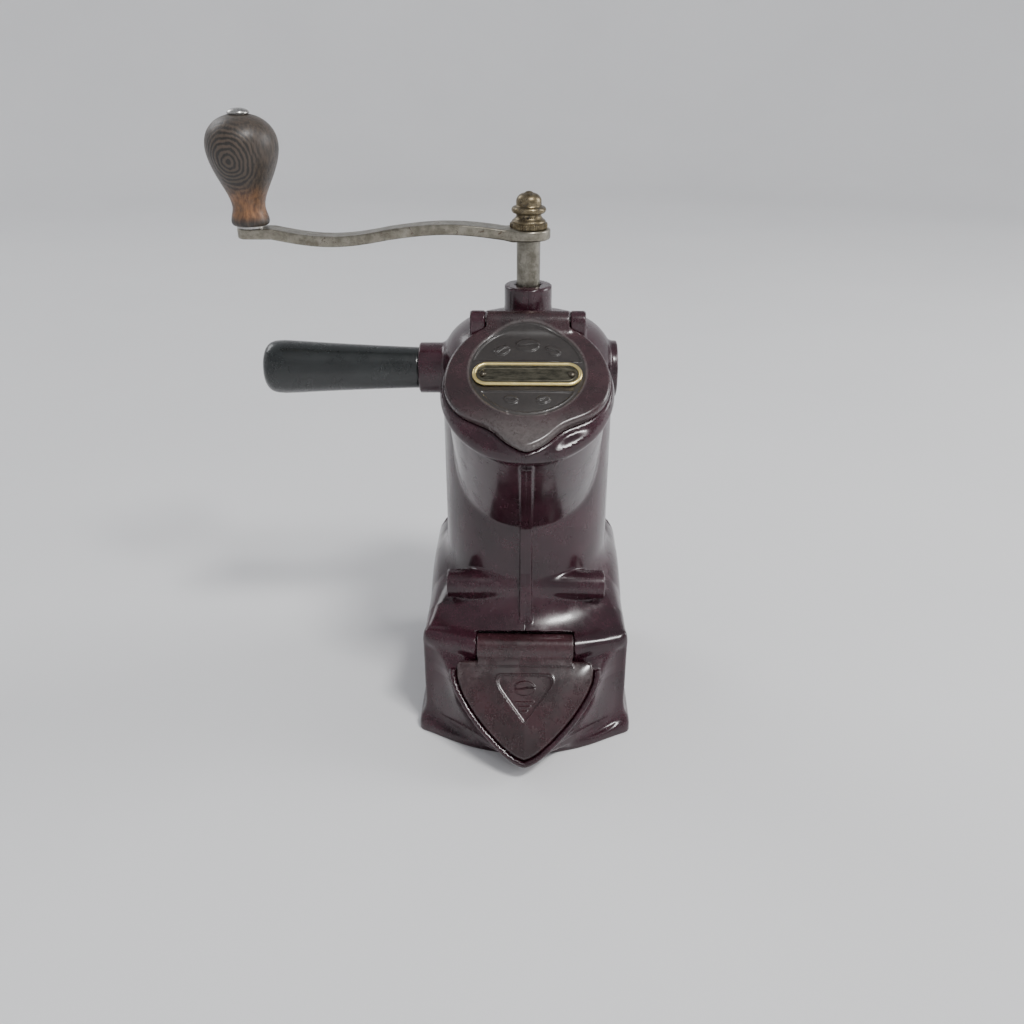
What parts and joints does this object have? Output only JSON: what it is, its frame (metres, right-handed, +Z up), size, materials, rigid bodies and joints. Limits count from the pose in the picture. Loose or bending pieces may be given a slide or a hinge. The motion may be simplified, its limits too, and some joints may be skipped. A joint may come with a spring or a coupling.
{
  "type": "hand crank coffee grinder",
  "caption": "Hand crank coffee grinder with a two-piece moulded casing, tilted hopper with hinged lid, side grip, and a pouring spout closed by a hinged flap.",
  "frame": {"origin": "on the resting plane, under the axis of the crank shaft", "axes": "+Z up along the crank shaft, -Y towards the pouring spout and the front of the lid, -X towards the side grip"},
  "size_m": [0.1812, 0.1385, 0.27],
  "materials": {
    "casing_bakelite": "polished dark oxblood moulding",
    "lid_bakelite": "worn gloss, silvery towards the lip",
    "flap_bakelite": "rubbed semi-gloss",
    "grip_bakelite": "polished black",
    "plate_brass": "bright rim, blackened field",
    "arm_steel": "aged nickel plate with brown patina",
    "shaft_steel": "dull plated",
    "finial_bronze": "aged brass",
    "bearing_bronze": "machined",
    "knob_wood": "dark stained, worn to orange brown at the neck",
    "burr_iron": "as cast",
    "rivet_steel": "satin",
    "fastener_steel": "plated"
  },
  "bodies": {
    "casing": {"body_left": "casing_bakelite", "body_right": "casing_bakelite", "front_clamp_screw": "fastener_steel", "front_clamp_nut": "fastener_steel", "rear_clamp_screw": "fastener_steel", "rear_clamp_nut": "fastener_steel", "handle_grip": "grip_bakelite", "handle_rod": "fastener_steel", "handle_washer": "fastener_steel", "handle_nut": "fastener_steel", "lid_hinge_pin": "fastener_steel", "flap_hinge_pin": "fastener_steel", "collar_bush": "bearing_bronze", "bearing_bridge": "fastener_steel", "bridge_screws": "fastener_steel", "burr_ring": "burr_iron", "burr_bridge": "fastener_steel", "burr_bridge_screws": "fastener_steel"},
    "crank": {"burr_cone": "burr_iron", "adjuster_spring": "fastener_steel", "main_shaft": "shaft_steel", "thrust_ring": "fastener_steel", "thrust_pin": "fastener_steel", "cone_key": "fastener_steel", "crank_arm": "arm_steel", "crank_nut": "finial_bronze", "knob_spindle": "rivet_steel", "knob_washer": "rivet_steel"},
    "knob": {"crank_knob": "knob_wood"},
    "lid": {"hopper_lid": "lid_bakelite", "lid_plate": "plate_brass", "plate_rivets": "rivet_steel"},
    "flap": {"outlet_flap": "flap_bakelite"},
    "adjuster": {"adjuster_nut": "bearing_bronze"}
  },
  "joints": [
    {"name": "crank_turn", "type": "hinge", "parent": "casing", "child": "crank", "pos_m": [0, 0, 0.2], "axis": [0, 0, 1], "continuous": true},
    {"name": "knob_spin", "type": "hinge", "parent": "crank", "child": "knob", "pos_m": [-0.1165, 0, 0.245], "axis": [0, 0, 1], "continuous": true},
    {"name": "lid_hinge", "type": "hinge", "parent": "casing", "child": "lid", "pos_m": [0, -0.015, 0.188], "axis": [-1, 0, 0], "range_deg": [0, 122]},
    {"name": "flap_hinge", "type": "hinge", "parent": "casing", "child": "flap", "pos_m": [0, -0.0515, 0.048], "axis": [-1, 0, 0], "range_deg": [0, 95]},
    {"name": "adjuster_turn", "type": "hinge", "parent": "crank", "child": "adjuster", "pos_m": [0, 0, 0.062], "axis": [0, 0, 1], "range_deg": [0, 360]}
  ]
}
